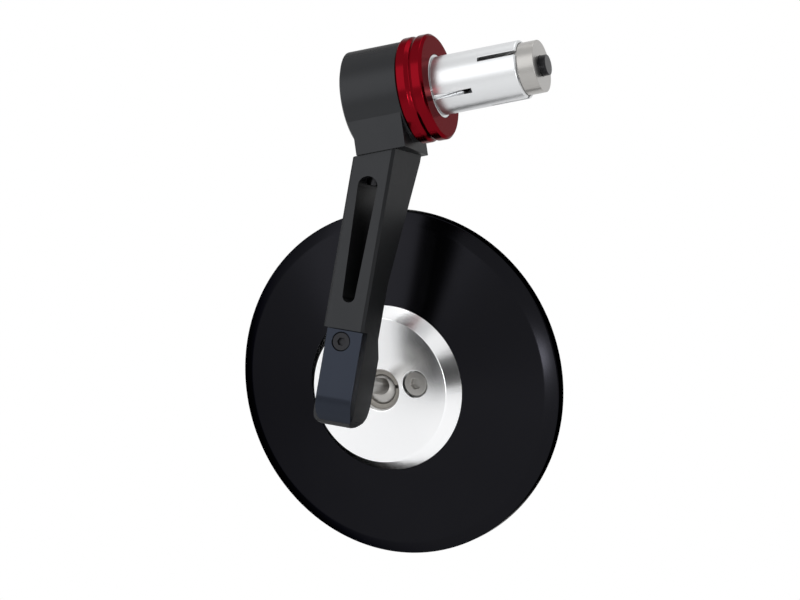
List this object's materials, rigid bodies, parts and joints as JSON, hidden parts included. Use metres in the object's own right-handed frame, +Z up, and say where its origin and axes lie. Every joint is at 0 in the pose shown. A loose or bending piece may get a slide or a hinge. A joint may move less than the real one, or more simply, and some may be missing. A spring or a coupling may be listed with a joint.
{
  "type": "motorcycle bar end mirror",
  "caption": "Round rear-view mirror on a slotted arm with an expander plug that clamps in the open end of a handlebar; the arm swings round the bar and the mirror tilts on a ball.",
  "frame": {"origin": "on the handlebar's axis, in the plane of the bar's end, where the expander sleeve starts", "axes": "+X into the handlebar along its axis, +Z up, +Y to the rear: the glass looks back along +Y"},
  "size_m": [0.1225, 0.071, 0.1429],
  "materials": {
    "red_anodised": "gloss red anodised",
    "bare_aluminium": "turned",
    "zinc_steel": "zinc plated",
    "black_steel": "black oxide",
    "black_anodised": "satin black anodised",
    "black_gloss": "gloss black anodised",
    "hub_aluminium": "face turned, bright",
    "nylon": "natural nylon",
    "foam_pad": "adhesive foam",
    "mirror_glass": "silvered glass"
  },
  "bodies": {
    "bar_clamp": {"accent_ring": "red_anodised", "bar_adapter": "bare_aluminium", "expander_sleeve": "bare_aluminium", "taper_nut": "zinc_steel", "clamp_bolt": "black_steel", "bolt_washer": "zinc_steel"},
    "arm_body": {"head": "black_anodised", "arm": "black_anodised", "arm_screws": "black_steel", "tip_cap": "black_gloss", "cap_screw": "black_steel", "ball_stud": "zinc_steel", "stud_nut": "zinc_steel"},
    "seat_body": {"ball_seat": "nylon"},
    "mirror_body": {"hub": "hub_aluminium", "socket_plate": "bare_aluminium", "hub_screws": "zinc_steel", "housing": "black_gloss", "glass_pad": "foam_pad", "glass": "mirror_glass"}
  },
  "joints": [
    {"name": "arm_swing", "type": "hinge", "parent": "bar_clamp", "child": "arm_body", "pos_m": [0, 0, 0], "axis": [1, 0, 0], "continuous": true},
    {"name": "mirror_tilt", "type": "hinge", "parent": "arm_body", "child": "seat_body", "pos_m": [-0.04006, 0.0318, -0.07913], "axis": [1, 0, 0], "range_deg": [-29, 6]},
    {"name": "mirror_pan", "type": "hinge", "parent": "seat_body", "child": "mirror_body", "pos_m": [-0.04006, 0.0318, -0.07913], "axis": [0, -0.1959, 0.9806], "range_deg": [-10, 25]}
  ]
}
